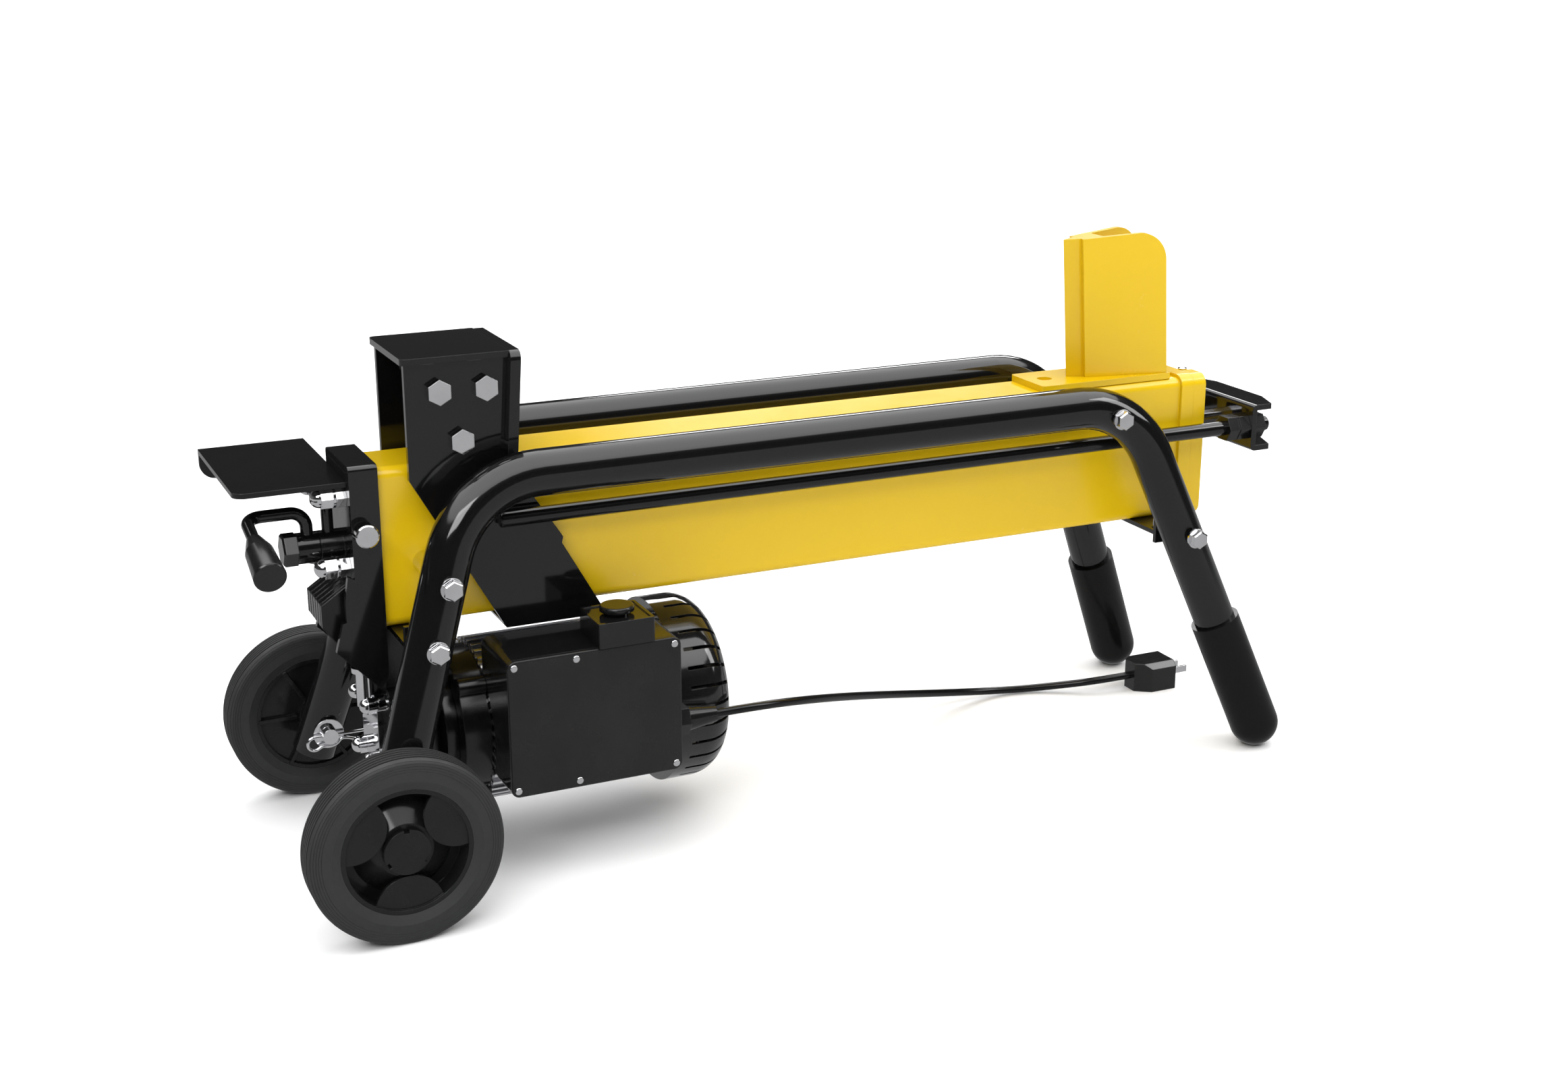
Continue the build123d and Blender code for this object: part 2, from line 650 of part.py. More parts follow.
with BuildPart() as pusher_bolts:
    for s in sides.values():
        for x, z in pusher_bolt_spots:
            with BuildSketch(Plane(origin=(x, s * saddle_outer, z), z_dir=(0, s, 0))):
                RegularPolygon(hex_radius(bolt_af), 6)
            extrude(amount=bolt_head)
            with BuildSketch(Plane(origin=(x, s * saddle_outer, z), z_dir=(0, -s, 0))):
                Circle(bolt_d / 2)
            extrude(amount=plate + 10)
keep(pusher_bolts, "pusher_bolts")

# ---------------------------------------------------------------- valve and its bracket
casting_front = beam_x0 - 22.0
casting_z0 = 172.0
casting_half = beam_half
bracket_top = beam_top + plate
bracket_out = casting_half + plate
spool_z = 262.0
spool_d = 12.0
boss_r = 12.0
boss_front = casting_front - 18.0
bore_end = beam_x0 - 7.0
stud_spots = ((-20, 250), (20, 250), (-20, 305), (20, 305))
stud_d = 8.0
stud_hole = 18.0
nose_reach = 24.0
nose_half = 24.0
pipe_d = 9.0
pipe_x = boss_front + 8.0
pipe_z0 = spool_z + spool_d / 2 + 1.0

with BuildPart() as valve_housing:
    with BuildSketch(Plane.YZ.offset(casting_front)):
        with Locations((0, (casting_z0 + beam_top) / 2)):
            Rectangle(2 * casting_half, beam_top - casting_z0)
    extrude(amount=beam_x0 - casting_front)
    with BuildSketch(Plane.XZ.offset(-nose_half)):
        with BuildLine():
            Polyline((casting_front, 238), (casting_front - nose_reach, 222),
                     (casting_front - nose_reach, 204), (casting_front, casting_z0), close=True)
        make_face()
    extrude(amount=2 * nose_half)
    with Locations((casting_front - nose_reach / 2 - 4, 0, 205)):
        with GridLocations(0, 8, 1, 6):
            Box(nose_reach, 2, 80, mode=Mode.SUBTRACT)
    disc((boss_front, 0, spool_z), (1, 0, 0), boss_r, casting_front - boss_front)
    with BuildSketch(Plane.YZ.offset(boss_front)):
        with Locations((0, spool_z)):
            Circle(spool_d / 2 + fit_gap)
    extrude(amount=bore_end - boss_front, mode=Mode.SUBTRACT)
    with BuildSketch(Plane.XY.offset(pipe_z0)):
        with Locations((pipe_x, 0)):
            Circle(pipe_d / 2)
    extrude(amount=boss_r, mode=Mode.SUBTRACT)
    with BuildSketch(Plane.YZ.offset(casting_front)):
        with Locations(*stud_spots):
            Circle(stud_d / 2)
    extrude(amount=stud_hole, mode=Mode.SUBTRACT)
keep(valve_housing, "valve_housing")

# The bracket is a plate over the casting with a tapered cheek on each side.
with BuildPart() as valve_bracket:
    with Locations(((casting_front + beam_x0) / 2, 0, beam_top + plate / 2)):
        Box(beam_x0 - casting_front, 2 * bracket_out, plate)
    for s in sides.values():
        with BuildSketch(Plane.XZ.offset(-s * casting_half)):
            with BuildLine():
                Polyline((beam_x0, beam_top), (casting_front, beam_top), (casting_front, 243),
                         (casting_front - 5, 246), (casting_front - 8, 226),
                         (casting_front - 8, 210), (casting_front - 11, 209),
                         (casting_front - 17, 187), (casting_front - 13, 183),
                         (casting_front + 15, 153), (beam_x0, 162), close=True)
            make_face()
        extrude(amount=-s * plate)
    fillet(valve_bracket.edges().filter_by(Axis.X).group_by(Axis.Z)[-1], plate - 1)
keep(valve_bracket, "valve_bracket")

pin_d = 18.0
pin_z = 279.0
pin_proud = 13.0
with BuildPart() as bracket_pins:
    for s in sides.values():
        disc((beam_x0 - 13, s * bracket_out, pin_z), (0, s, 0), pin_d / 2, pin_proud)
    chamfer(bracket_pins.edges().filter_by(GeomType.CIRCLE).group_by(SortBy.DISTANCE)[-1], 1)
keep(bracket_pins, "bracket_pins")

guard_x0 = -half_length
guard_y0 = -30.0
guard_y1 = 116.0
guard_top = 317.7
guard_t = 4.0
with BuildPart() as hand_guard:
    with BuildSketch(Plane.XY.offset(guard_top)):
        with Locations(((guard_x0 + casting_front) / 2, (guard_y0 + guard_y1) / 2)):
            Rectangle(casting_front - guard_x0, guard_y1 - guard_y0)
        fillet(vertices().group_by(Axis.X)[0].sort_by(Axis.Y)[0], 9)
    extrude(amount=-guard_t)
    with BuildSketch(Plane.XZ.offset(-guard_y1)):
        with Locations(((guard_x0 + casting_front) / 2, guard_top - 12)):
            Rectangle(casting_front - guard_x0, 24)
        fillet(vertices().group_by(Axis.Y)[0], 12)
    extrude(amount=guard_t)
keep(hand_guard, "hand_guard")

# Tie studs: each carries a hex nut on the casting, a washer and a domed nut.
dome_af = 15.0
with BuildPart() as tie_studs:
    for y, z in stud_spots:
        disc((casting_front - 16, y, z), (1, 0, 0), stud_d / 2, 16 + stud_hole - 1)
        for start, length in ((8, 8), (19, 9)):
            with BuildSketch(Plane.YZ.offset(casting_front - start)):
                with Locations((y, z)):
                    RegularPolygon(hex_radius(dome_af), 6)
            extrude(amount=length)
        disc((casting_front - 10, y, z), (1, 0, 0), dome_af / 2 + 1, 2)
        with Locations((casting_front - 19, y, z)):
            Sphere(dome_af / 2)
keep(tie_studs, "tie_studs")

with BuildPart() as return_pipe:
    with BuildLine() as pipe_path:
        FilletPolyline((pipe_x, 0, pipe_z0), (pipe_x, 0, spool_z + 36),
                       (casting_front, 0, spool_z + 36), radius=8)
    with BuildSketch(Plane.XY.offset(pipe_z0)):
        with Locations((pipe_x, 0)):
            Circle(pipe_d / 2)
    sweep(path=pipe_path.line)
keep(return_pipe, "return_pipe")

# ---------------------------------------------------------------- lever
sleeve_x0 = boss_front - 17.0
sleeve_x1 = boss_front - 0.5
head_af = 23.0
head_t = 11.0
lever_d = 9.5
lever_x = beam_x0 - 48.0
lever_turn = Vector(12 - half_length, 0, 290.3)
handle_dir = Vector(0, -0.971, -0.24).normalized()
rod_reach = 46.0
grip_start = 34.0
grip_end = 88.0
grip_d = 24.0
lever_range = 30.0            # degrees

with BuildPart() as valve_spool:
    with BuildSketch(Plane.YZ.offset(sleeve_x0 - head_t)):
        with Locations((0, spool_z)):
            RegularPolygon(hex_radius(head_af), 6)
    extrude(amount=head_t)
    chamfer(valve_spool.faces().sort_by(Axis.X)[0].edges(), 1.5)
    disc((sleeve_x0, 0, spool_z), (1, 0, 0), spool_d / 2, bore_end - 3 - sleeve_x0)
keep(valve_spool, "valve_spool")

with BuildPart() as control_lever:
    with BuildLine() as lever_path:
        FilletPolyline((lever_x, 0, spool_z + 8), (lever_x, 0, lever_turn.Z), lever_turn,
                       lever_turn + handle_dir * rod_reach, radius=12)
    with BuildSketch(Plane.XY.offset(spool_z + 8)):
        with Locations((lever_x, 0)):
            Circle(lever_d / 2)
    sweep(path=lever_path.line)
    disc((sleeve_x0, 0, spool_z), (1, 0, 0), boss_r, sleeve_x1 - sleeve_x0)
    with Locations(Plane(origin=((sleeve_x0 + sleeve_x1) / 2, 0, spool_z), z_dir=(1, 0, 0))):
        Cylinder(spool_d / 2, 2 * (sleeve_x1 - sleeve_x0), mode=Mode.SUBTRACT)
keep(control_lever, "control_lever")

grip_plane = Plane(origin=lever_turn, x_dir=(1, 0, 0), z_dir=Vector(1, 0, 0).cross(handle_dir))
with BuildPart() as lever_grip:
    with BuildSketch(grip_plane):
        with BuildLine():
            Polyline((0, grip_start), (grip_d / 4, grip_start), (grip_d / 2 - 1.5, grip_start + 18),
                     (grip_d / 2, grip_end - 1), (grip_d / 2 - 1, grip_end), (0, grip_end), close=True)
        make_face()
    revolve(axis=Axis(lever_turn, handle_dir))
    with BuildSketch(Plane(origin=lever_turn, z_dir=handle_dir)):
        Circle(lever_d / 2)
    extrude(amount=rod_reach, mode=Mode.SUBTRACT)
keep(lever_grip, "lever_grip")

# ---------------------------------------------------------------- pump
pump_x1 = beam_x0 + 50.0
pump_half = 28.0
shaft_d = 16.0
motor_plane = Plane(origin=(beam_x0, 0, motor_z), x_dir=(0, 1, 0), z_dir=(1, 0, 0))

with BuildPart() as pump_housing:
    with BuildSketch(Plane.YZ.offset(beam_x0)):
        with Locations((0, motor_z)):
            RectangleRounded(2 * pump_half, 90, 12)
        with Locations((0, (motor_z + beam_bottom - cross_t) / 2)):
            Rectangle(40, beam_bottom - cross_t - motor_z)
    extrude(amount=44)
    for spot in (beam_x0 + 8, beam_x0 + 20, beam_x0 + 32):
        with Locations((spot, 0, motor_z)):
            Box(4, 2 * pump_half + 12, 64)
    with BuildSketch(motor_plane.offset(40)):
        Circle(46)
    extrude(amount=10)
    with BuildSketch(motor_plane.offset(20)):
        Circle(shaft_d / 2 + fit_gap)
    extrude(amount=40, mode=Mode.SUBTRACT)
keep(pump_housing, "pump_housing")

# Pump cover with its cap nuts, and the breather on its neck.
with BuildPart() as pump_cover:
    with BuildSketch(Plane.YZ.offset(beam_x0 - 9)):
        with Locations((0, motor_z + 8)):
            RectangleRounded(50, 62, 10)
            for turn in (45, -45):
                with Locations(Location((0, 0, 0), turn)):
                    Rectangle(66, 7)
    extrude(amount=9)
    for y in (-18, 18):
        for z in (motor_z - 15, motor_z + 31):
            disc((beam_x0 - 15, y, z), (1, 0, 0), 7, 8)
            with Locations((beam_x0 - 15, y, z)):
                Sphere(6)
    disc((beam_x0 - 14, -12, motor_z + 30), (0, 0, 1), 7, 28)
    disc((beam_x0 - 14, -12, motor_z + 58), (0, 0, 1), 10, 4)
keep(pump_cover, "pump_cover")

# ---------------------------------------------------------------- motor
bell_x0 = pump_x1
core_x0 = beam_x0 + 82.0
core_x1 = beam_x0 + 198.0
stator_out = 56.0
stator_in = 35.0
air_gap = 0.7
fin_count = 44
fan_x0 = beam_x0 + 238.0
fan_x = beam_x0 + 258.0

with BuildPart() as motor_end_bell:
    with BuildSketch(motor_plane.offset(bell_x0 - beam_x0)):
        Circle(motor_r - 4)
        with PolarLocations(motor_r - 5, 4, start_angle=45):
            Circle(8)
        Circle(shaft_d / 2 + fit_gap, mode=Mode.SUBTRACT)
    extrude(amount=motor_x0 - bell_x0)
keep(motor_end_bell, "motor_end_bell")

with BuildPart() as motor_body:
    with BuildSketch(motor_plane.offset(motor_x0 - beam_x0)):
        Circle(stator_out + 4)
        with PolarLocations(stator_out + 6, fin_count):
            Rectangle(12, 3)
        Circle(motor_r, mode=Mode.INTERSECT)
        Circle(stator_out, mode=Mode.SUBTRACT)
    extrude(amount=motor_x1 - motor_x0)
    with BuildSketch(motor_plane.offset(motor_x1 - beam_x0)):
        Circle(stator_out)
        Circle(shaft_d / 2 + fit_gap, mode=Mode.SUBTRACT)
    extrude(amount=-10)
keep(motor_body, "motor_body")

with BuildPart() as stator:
    with BuildSketch(motor_plane.offset(core_x0 - beam_x0)):
        Circle(stator_out)
        Circle(stator_in, mode=Mode.SUBTRACT)
        with PolarLocations((stator_in + stator_out) / 2 - 2, 24):
            Rectangle(12, 3.5, mode=Mode.SUBTRACT)
    extrude(amount=core_x1 - core_x0)
keep(stator, "stator")

with BuildPart() as rotor:
    disc((beam_x0 + 22, 0, motor_z), (1, 0, 0), shaft_d / 2, fan_x - beam_x0 - 22)
    disc((core_x0, 0, motor_z), (1, 0, 0), stator_in - air_gap, core_x1 - core_x0)
keep(rotor, "rotor")

blade_count = 9
with BuildPart() as cooling_fan:
    with BuildSketch(motor_plane.offset(fan_x0 - beam_x0)):
        Circle(40)
    extrude(amount=3)
    with BuildSketch(motor_plane.offset(fan_x0 - beam_x0)):
        Circle(14)
        with PolarLocations(38, blade_count):
            Rectangle(52, 2.5)
    extrude(amount=18)
    with BuildSketch(motor_plane.offset(fan_x0 - beam_x0 - 1)):
        Circle(shaft_d / 2)
    extrude(amount=30, mode=Mode.SUBTRACT)
keep(cooling_fan, "cooling_fan")

# The fan cover is a thin domed shell, slotted all round its shoulder.
cover_x0 = beam_x0 + 224.0
cover_wall = 2.0
cover_round = 26.0
slot_count = 30
with BuildPart() as fan_cover:
    for shrink, how in ((0.0, Mode.ADD), (cover_wall, Mode.SUBTRACT)):
        out = fan_r - shrink
        end = fan_x1 - beam_x0 - shrink
        start = cover_x0 - beam_x0 + shrink
        with BuildSketch(Plane(origin=(beam_x0, 0, motor_z), x_dir=(1, 0, 0), z_dir=(0, -1, 0))):
            with BuildLine():
                Polyline((start, 0), (start, out), (end - cover_round, out))
                RadiusArc((end - cover_round, out), (end, out - cover_round), cover_round)
                Polyline((end, out - cover_round), (end, 0), (start, 0))
            make_face()
        revolve(axis=Axis((beam_x0, 0, motor_z), (1, 0, 0)), mode=how)
    with BuildSketch(motor_plane.offset(cover_x0 - beam_x0)):
        Circle(motor_r)
    extrude(amount=cover_wall, mode=Mode.SUBTRACT)
    for turn in range(slot_count):
        angle = math.radians(turn * 360 / slot_count + 6)
        out_dir = Vector(0, math.cos(angle), math.sin(angle))
        slot_centre = Vector(fan_x1 - 22, 0, motor_z) + out_dir * (fan_r - 10)
        with Locations(Plane(origin=slot_centre, x_dir=(1, 0, 0), z_dir=out_dir)):
            Box(36, 3, 30, mode=Mode.SUBTRACT)
keep(fan_cover, "fan_cover")

# ---------------------------------------------------------------- electrical box
lid_t = 4.0
box_front = box_face_y + lid_t
box_back = -40.0
box_mid = ((box_x0 + box_x1) / 2, (box_z0 + box_z1) / 2)
box_size = (box_x1 - box_x0, box_z1 - box_z0)
cavity_back = -motor_r - 6.0
screw_inset = 5.5
screw_spots = [(x, z) for x in (box_x0 + screw_inset, beam_x0 + 127, box_x1 - screw_inset)
               for z in (box_z0 + screw_inset, box_z1 - screw_inset)]

with BuildPart() as terminal_box:
    with BuildSketch(Plane.XZ.offset(-box_back)):
        with Locations(box_mid):
            RectangleRounded(*box_size, 7)
    extrude(amount=box_back - box_front)
    with BuildSketch(Plane.XZ.offset(-cavity_back)):
        with Locations(box_mid):
            RectangleRounded(box_size[0] - 2 * screw_inset - 8, box_size[1] - 2 * screw_inset - 8, 4)
    extrude(amount=cavity_back - box_front, mode=Mode.SUBTRACT)
    with BuildSketch(motor_plane):
        Circle(motor_r)
    extrude(amount=motor_x1 + 40 - beam_x0, mode=Mode.SUBTRACT)
keep(terminal_box, "terminal_box")

with BuildPart() as terminal_cover:
    with BuildSketch(Plane.XZ.offset(-box_front)):
        with Locations(box_mid):
            RectangleRounded(*box_size, 7)
    extrude(amount=lid_t)
    fillet(terminal_cover.faces().sort_by(Axis.Y)[0].outer_wire().edges(), 1.5)
    with BuildSketch(Plane.XZ.offset(-box_face_y)):
        with Locations(*screw_spots):
            Circle(3)
    extrude(amount=-2, mode=Mode.SUBTRACT)
keep(terminal_cover, "terminal_cover")

with BuildPart() as cover_screws:
    with BuildSketch(Plane.XZ.offset(-box_face_y - 2)):
        with Locations(*screw_spots):
            Circle(3)
    extrude(amount=2.5)
    fillet(cover_screws.edges().filter_by(GeomType.CIRCLE).group_by(Axis.Y)[0], 1)
keep(cover_screws, "cover_screws")

switch_x0 = beam_x0 + 145.0
switch_x1 = beam_x0 + 191.0
switch_y0 = -107.0
switch_y1 = -62.0
switch_top = 205.0
button_d = 27.0
stem_d = 20.0
button_travel = 2.5
switch_mid = ((switch_x0 + switch_x1) / 2, (switch_y0 + switch_y1) / 2)
with BuildPart() as switch_housing:
    with BuildSketch(Plane.XY.offset(box_z1)):
        with Locations(switch_mid):
            RectangleRounded(switch_x1 - switch_x0, switch_y1 - switch_y0, 2)
    extrude(amount=switch_top - box_z1)
    with BuildSketch(Plane.XY.offset(switch_top)):
        with Locations(switch_mid):
            RectangleRounded(switch_x1 - switch_x0 - 5, switch_y1 - switch_y0 - 5, 1.5)
    extrude(amount=-1, mode=Mode.SUBTRACT)
    with BuildSketch(Plane.XY.offset(switch_top)):
        with Locations(switch_mid):
            Circle(stem_d / 2 + fit_gap)
    extrude(amount=-14, mode=Mode.SUBTRACT)
keep(switch_housing, "switch_housing")

with BuildPart() as start_button:
    disc((*switch_mid, switch_top - 10), (0, 0, 1), stem_d / 2, 13)
    disc((*switch_mid, switch_top + 2), (0, 0, 1), button_d / 2, 4.5)
    fillet(start_button.edges().filter_by(GeomType.CIRCLE).group_by(Axis.Z)[-1], 1.8)
keep(start_button, "start_button")

# Strain relief: a hex nut on the box and a tapered sleeve round the cord.
gland_y = -88.0
gland_z = 108.5
gland_end = beam_x0 + 248.0
gland_nut_t = 10.0
with BuildPart() as cable_gland:
    with BuildSketch(Plane.YZ.offset(box_x1)):
        with Locations((gland_y, gland_z)):
            RegularPolygon(hex_radius(22), 6)
    extrude(amount=gland_nut_t)
    add(Solid.make_cone(10.5, 6.5, gland_end - box_x1 - gland_nut_t,
                        Plane(origin=(box_x1 + gland_nut_t, gland_y, gland_z), z_dir=(1, 0, 0))))
keep(cable_gland, "cable_gland")

# ---------------------------------------------------------------- power cord and plug
floor_line = floor_z + cord_d / 2
plug_y = 47.0
plug_z = 14.0
plug_x0 = beam_x0 + 742.0
cord_points = [
    Vector(gland_end, gland_y, gland_z),
    Vector(beam_x0 + 289, gland_y, gland_z),
    Vector(beam_x0 + 347, -58, 93),
    Vector(beam_x0 + 411, -10, 68),
    Vector(beam_x0 + 476, 34, 43),
    Vector(beam_x0 + 538, 67, 22),
    Vector(beam_x0 + 593, 85, 8),
    Vector(beam_x0 + 638, 83, floor_line),
    Vector(beam_x0 + 674, 68, 7),
    Vector(beam_x0 + 706, plug_y, plug_z),
    Vector(plug_x0, plug_y, plug_z),
]
cord_runs = [b - a for a, b in zip(cord_points, cord_points[1:])]
cord_radii = []
for a, b in zip(cord_runs, cord_runs[1:]):
    half_turn = math.radians(a.get_angle(b)) / 2
    cord_radii.append(0.45 * min(a.length, b.length) / math.tan(half_turn))
print("cord bend radii", [round(r) for r in cord_radii])

with BuildPart() as power_cord:
    with BuildLine() as cord_path:
        FilletPolyline(*cord_points, radius=cord_radii)
    with BuildSketch(Plane(origin=cord_points[0], z_dir=cord_runs[0])):
        Circle(cord_d / 2)
    sweep(path=cord_path.wire())
cord_section = math.pi * cord_d ** 2 / 4
print("cord length", round(cord_path.wire().length, 1), "volume ratio",
      round(power_cord.part.volume / (cord_section * cord_path.wire().length), 4))
keep(power_cord, "power_cord")

plug_end = plug_x0 + 41.0
plug_half = 18.0
with BuildPart() as plug_body:
    with BuildSketch(Plane.XY):
        with BuildLine():
            Polyline((plug_x0, plug_y - 8), (plug_x0 + 14, plug_y - plug_half),
                     (plug_end, plug_y - plug_half), (plug_end, plug_y + plug_half),
                     (plug_x0 + 14, plug_y + plug_half), (plug_x0, plug_y + 8), close=True)
        make_face()
    extrude(amount=2 * plug_z)
    chamfer(plug_body.edges().filter_by(Axis.X).group_by(Axis.Z)[-1], 5)
keep(plug_body, "plug_body")

with BuildPart() as plug_prongs:
    for y in (plug_y - 7, plug_y + 7):
        with Locations((plug_end, y, plug_z)):
            Box(20, 1.6, 6.5, align=(Align.MIN, Align.CENTER, Align.CENTER))
keep(plug_prongs, "plug_prongs")
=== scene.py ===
import math

import bpy
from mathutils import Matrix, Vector


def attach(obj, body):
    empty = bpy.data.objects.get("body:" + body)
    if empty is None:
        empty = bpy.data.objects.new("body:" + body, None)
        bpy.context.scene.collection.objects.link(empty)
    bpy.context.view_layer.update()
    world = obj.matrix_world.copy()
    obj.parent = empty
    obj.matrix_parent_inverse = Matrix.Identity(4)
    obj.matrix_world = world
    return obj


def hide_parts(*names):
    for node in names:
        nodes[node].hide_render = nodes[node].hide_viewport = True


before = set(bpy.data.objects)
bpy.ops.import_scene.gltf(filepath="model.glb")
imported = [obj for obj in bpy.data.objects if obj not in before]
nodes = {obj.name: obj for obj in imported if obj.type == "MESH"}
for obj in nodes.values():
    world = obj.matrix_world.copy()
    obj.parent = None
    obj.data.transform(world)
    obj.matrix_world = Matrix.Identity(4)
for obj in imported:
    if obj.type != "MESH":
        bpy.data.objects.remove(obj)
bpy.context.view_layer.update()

# ---------------------------------------------------------------- colours, linear RGB
BLACK_PAINT = (0.0042, 0.0042, 0.0045)
YELLOW_PAINT = (0.72, 0.47, 0.003)
BLACK_PLASTIC = (0.0075, 0.0075, 0.0078)
LID_PLASTIC = (0.011, 0.011, 0.0112)
RIM_PLASTIC = (0.0085, 0.0085, 0.0088)
TYRE_RUBBER = (0.019, 0.019, 0.0197)
# Painted shade for the grooves of the tyre's moulded rings.
GROOVE_PAINTED_SHADE = (0.004, 0.004, 0.004)
BOOT_RUBBER = (0.0045, 0.0045, 0.0047)
CAST_BLACK = (0.0052, 0.0052, 0.0055)
COWL_BLACK = (0.007, 0.007, 0.0073)
# Lighter black for enamel edges: partly wear, partly a painted edge highlight.
WORN_AND_HIGHLIGHT_BLACK = (0.016, 0.016, 0.0165)
CHROME = (0.85, 0.85, 0.87)
STEEL = (0.56, 0.56, 0.57)
POLISHED_ALUMINIUM = (0.8, 0.8, 0.82)
NYLON = (0.72, 0.69, 0.6)
LAMINATION = (0.3, 0.28, 0.26)


# ---------------------------------------------------------------- node helpers
BEVEL_SAMPLES = 4


def scaled(color, factor):
    """A colour, lighter or darker."""
    return tuple(c * factor for c in color)


class Shader:
    """A Principled material with short ways to add the nodes that every finish here uses."""

    def __init__(self, name):
        self.material = bpy.data.materials.new(name)
        self.material.use_nodes = True
        self.tree = self.material.node_tree
        self.bsdf = self.tree.nodes["Principled BSDF"]
        self.coords = self.tree.nodes.new("ShaderNodeTexCoord").outputs["Object"]
        self.height = None

    def link(self, a, b):
        self.tree.links.new(a, b)

    def put(self, socket, value):
        if isinstance(value, tuple) and len(value) == 3:
            value = (*value, 1.0)
        self.bsdf.inputs[socket].default_value = value

    def stretched(self, scale):
        node = self.tree.nodes.new("ShaderNodeMapping")
        self.link(self.coords, node.inputs["Vector"])
        node.inputs["Scale"].default_value = scale
        return node.outputs["Vector"]

    def noise(self, scale, detail=3.0, rough=0.55, stretch=None):
        node = self.tree.nodes.new("ShaderNodeTexNoise")
        self.link(self.stretched(stretch) if stretch else self.coords, node.inputs["Vector"])
        node.inputs["Scale"].default_value = scale
        node.inputs["Detail"].default_value = detail
        node.inputs["Roughness"].default_value = rough
        return node.outputs["Fac"]

    def spread(self, value, low, high, from_low=0.3, from_high=0.7):
        node = self.tree.nodes.new("ShaderNodeMapRange")
        self.link(value, node.inputs["Value"])
        for socket, number in (("From Min", from_low), ("From Max", from_high),
                               ("To Min", low), ("To Max", high)):
            node.inputs[socket].default_value = number
        return node.outputs["Result"]

    def axis(self, letter):
        node = self.tree.nodes.new("ShaderNodeSeparateXYZ")
        self.link(self.coords, node.inputs[0])
        return node.outputs[letter]

    def math(self, how, a, b=None):
        node = self.tree.nodes.new("ShaderNodeMath")
        node.operation = how
        for i, value in enumerate((a, b)):
            if value is None:
                continue
            if isinstance(value, (int, float)):
                node.inputs[i].default_value = value
            else:
                self.link(value, node.inputs[i])
        return node.outputs[0]

    def rings(self, distance, pitch):
        """1 in thin grooves that repeat at the pitch, and 0 between them."""
        wave = self.math("SINE", self.math("MULTIPLY", distance, 2 * math.pi / pitch))
        return self.spread(wave, 0.0, 1.0, 0.72, 0.94)

    def mix(self, factor, a, b):
        node = self.tree.nodes.new("ShaderNodeMix")
        node.data_type = "RGBA"
        self.link(factor, node.inputs["Factor"])
        for socket, value in (("A", a), ("B", b)):
            target = [i for i in node.inputs if i.name == socket and i.type == "RGBA"][0]
            if isinstance(value, tuple):
                target.default_value = (*value, 1.0)
            else:
                self.link(value, target)
        return [o for o in node.outputs if o.type == "RGBA"][0]

    def bump(self, value, strength, distance):
        node = self.tree.nodes.new("ShaderNodeBump")
        node.inputs["Strength"].default_value = strength
        node.inputs["Distance"].default_value = distance
        self.link(value, node.inputs["Height"])
        if self.height is not None:
            self.link(self.height, node.inputs["Normal"])
        self.height = node.outputs["Normal"]
        self.link(self.height, self.bsdf.inputs["Normal"])

    def vary(self, socket, noise, low, high):
        """Let a noise move a number of the shader between two values."""
        self.link(self.spread(noise, low, high), self.bsdf.inputs[socket])

    def round_edges(self, radius):
        """Softened edges: the light catches them as on a part with a small fillet."""
        node = self.tree.nodes.new("ShaderNodeBevel")
        node.samples = BEVEL_SAMPLES
        node.inputs["Radius"].default_value = radius
        self.height = node.outputs["Normal"]
        self.link(self.height, self.bsdf.inputs["Normal"])
        return node.outputs["Normal"]

    def edge_mask(self, soft_normal):
        """0 on the flats and up to 1 along the edges."""
        geometry = self.tree.nodes.new("ShaderNodeNewGeometry")
        dot = self.tree.nodes.new("ShaderNodeVectorMath")
        dot.operation = "DOT_PRODUCT"
        self.link(soft_normal, dot.inputs[0])
        self.link(geometry.outputs["Normal"], dot.inputs[1])
        return self.spread(dot.outputs["Value"], 1.0, 0.0, 0.8, 0.995)


# ---------------------------------------------------------------- finishes
COAT_ROUGH = 0.06
PAINT_PEEL = 0.000007
CAST_EDGE = 0.0016
CAST_GRAIN = 0.00006
METAL_EDGE = 0.0006
METAL_GRAIN = 0.00001
MOULDED_EDGE = 0.0009
MOULDED_GRAIN = 0.00001
RUBBER_GRAIN = 0.000015
TYRE_GRAIN = 0.00003
AXLE_X, AXLE_Z = -0.378, 0.073
TREAD_R = 0.073
SHOULDER_R = 0.0625
TREAD_LIP = 0.0006
RING_PITCH = 0.0019
RING_DEPTH = 0.0003
RING_FADE = 0.0003


def paint(name, color, rough, coat, edge=0.0008, wear_and_highlight=None, uneven=0.86):
    """Gloss enamel: orange peel, faint unevenness of tone and gloss, and thin edges painted lighter, partly
    as wear and partly as a painted edge highlight.
    """
    s = Shader(name)
    soft = s.round_edges(edge)
    base = s.mix(s.spread(s.noise(9.0, 4.0), 0.0, 1.0), scaled(color, uneven), color)
    if wear_and_highlight:
        # Painted edge highlight and wear: the edges are lightened in colour, in patches, toward the lighter
        # black.
        wear_and_highlight_patches = s.spread(s.noise(260.0, 5.0, 0.7), 0.0, 0.5, 0.45, 0.75)
        base = s.mix(s.math("MULTIPLY", s.edge_mask(soft), wear_and_highlight_patches), base, wear_and_highlight)
    s.link(base, s.bsdf.inputs["Base Color"])
    s.vary("Roughness", s.noise(35.0, 6.0, 0.65), rough * 0.9, rough * 1.15)
    s.put("Coat Weight", coat)
    s.put("Coat Roughness", COAT_ROUGH)
    s.bump(s.noise(420.0, 2.0, 0.4), 0.35, PAINT_PEEL)
    return s.material


